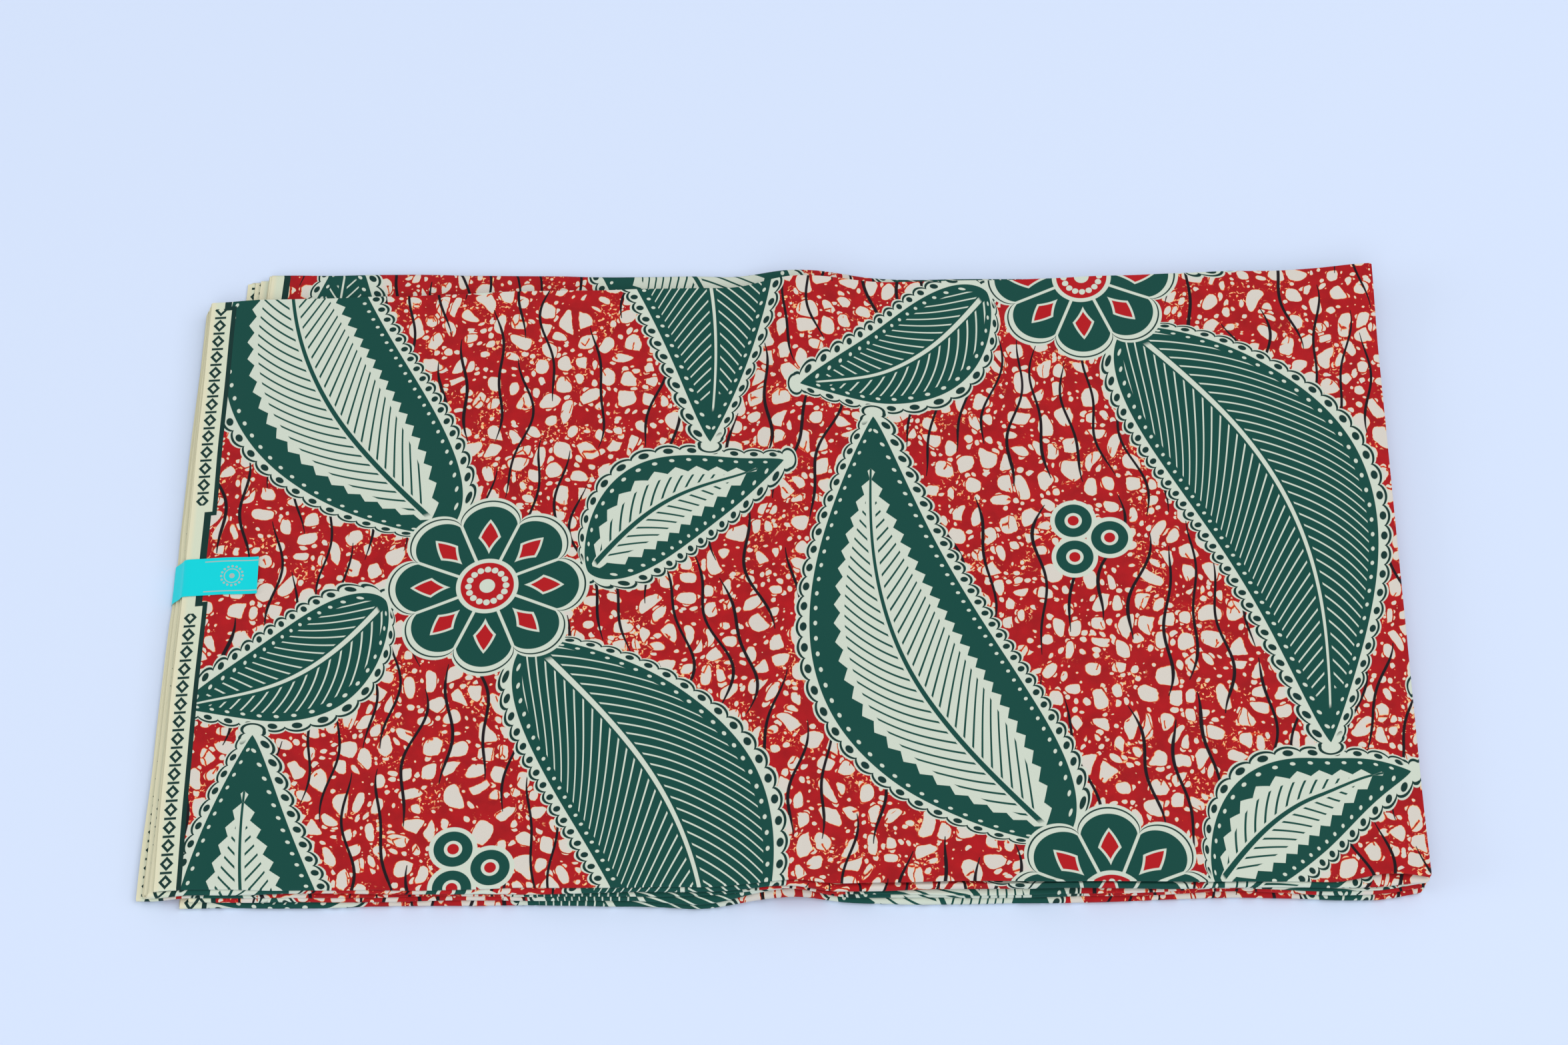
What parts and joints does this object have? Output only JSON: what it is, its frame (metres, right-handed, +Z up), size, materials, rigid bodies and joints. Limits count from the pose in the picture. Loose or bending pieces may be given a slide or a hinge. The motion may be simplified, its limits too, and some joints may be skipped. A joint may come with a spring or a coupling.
{
  "type": "folded length of ankara cloth",
  "caption": "Flat packet of folded wax-print cotton with a raised crease, fanned selvedges and a foil label strip.",
  "frame": {"origin": "on the surface that the packet lies on, under the middle of its outline", "axes": "+X along the packet's long side, from the selvedges to the folded end; +Y to the back; +Z up"},
  "size_m": [0.6008, 0.3468, 0.0237],
  "materials": {
    "wax_print": "matt printed cotton",
    "label_foil": "glossy foil"
  },
  "bodies": {
    "root": {"top_fold": "wax_print", "upper_folds": "wax_print", "lower_folds": "wax_print", "label": "label_foil"}
  },
  "joints": []
}
